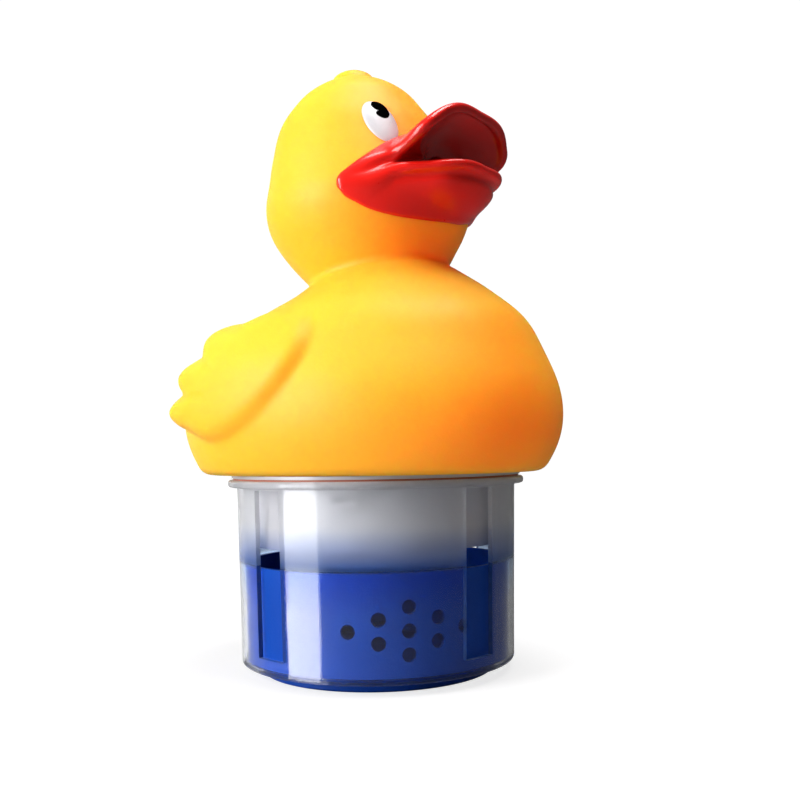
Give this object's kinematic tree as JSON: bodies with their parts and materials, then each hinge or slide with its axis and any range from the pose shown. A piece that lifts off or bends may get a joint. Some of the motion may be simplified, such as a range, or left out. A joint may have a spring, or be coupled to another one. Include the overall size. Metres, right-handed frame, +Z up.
{
  "type": "floating chlorine dispenser",
  "caption": "Floating pool chlorine dispenser: a hollow duck float on a clear slotted canister holding a turning blue tablet cup.",
  "frame": {"origin": "centre of the cup foot's underside, on the canister's axis", "axes": "+Z up along the canister's axis, +X the way the duck faces, +Y to the duck's left"},
  "size_m": [0.1536, 0.1286, 0.2285],
  "materials": {
    "duck_vinyl": "soft satin vinyl",
    "bill_red": "gloss",
    "eye_white": "gloss",
    "pupil_black": "gloss",
    "clear_plastic": "clear, slightly smoky",
    "lid_clear": "clear",
    "cup_blue": "satin",
    "seal_grey": "matt",
    "ring_white": "satin",
    "screw_steel": "stainless"
  },
  "bodies": {
    "canister_body": {"canister": "clear_plastic"},
    "cup": {"tablet_cup": "cup_blue"},
    "gasket_ring": {"flange_gasket": "seal_grey"},
    "float": {"duck_shell": "duck_vinyl", "bill": "bill_red", "eye_right": "eye_white", "eye_left": "eye_white", "pupil_right": "pupil_black", "pupil_left": "pupil_black", "clamp_ring": "ring_white", "shell_gasket": "seal_grey", "lid": "lid_clear", "lid_screws": "screw_steel"}
  },
  "joints": [
    {"name": "cup_turn", "type": "hinge", "parent": "canister_body", "child": "cup", "pos_m": [0, 0, 0], "axis": [0, 0, 1], "continuous": true},
    {"name": "float_lift", "type": "slide", "parent": "canister_body", "child": "gasket_ring", "axis": [0, 0, 1], "range_m": [0, 0.0101]},
    {"name": "float_turn", "type": "hinge", "parent": "gasket_ring", "child": "float", "pos_m": [0, 0, 0.0702], "axis": [0, 0, 1], "range_deg": [0, 60]}
  ],
  "couplings": [
    {"joint": "float_lift", "follows": "float_turn", "m_per_rad": 0.0095493}
  ]
}
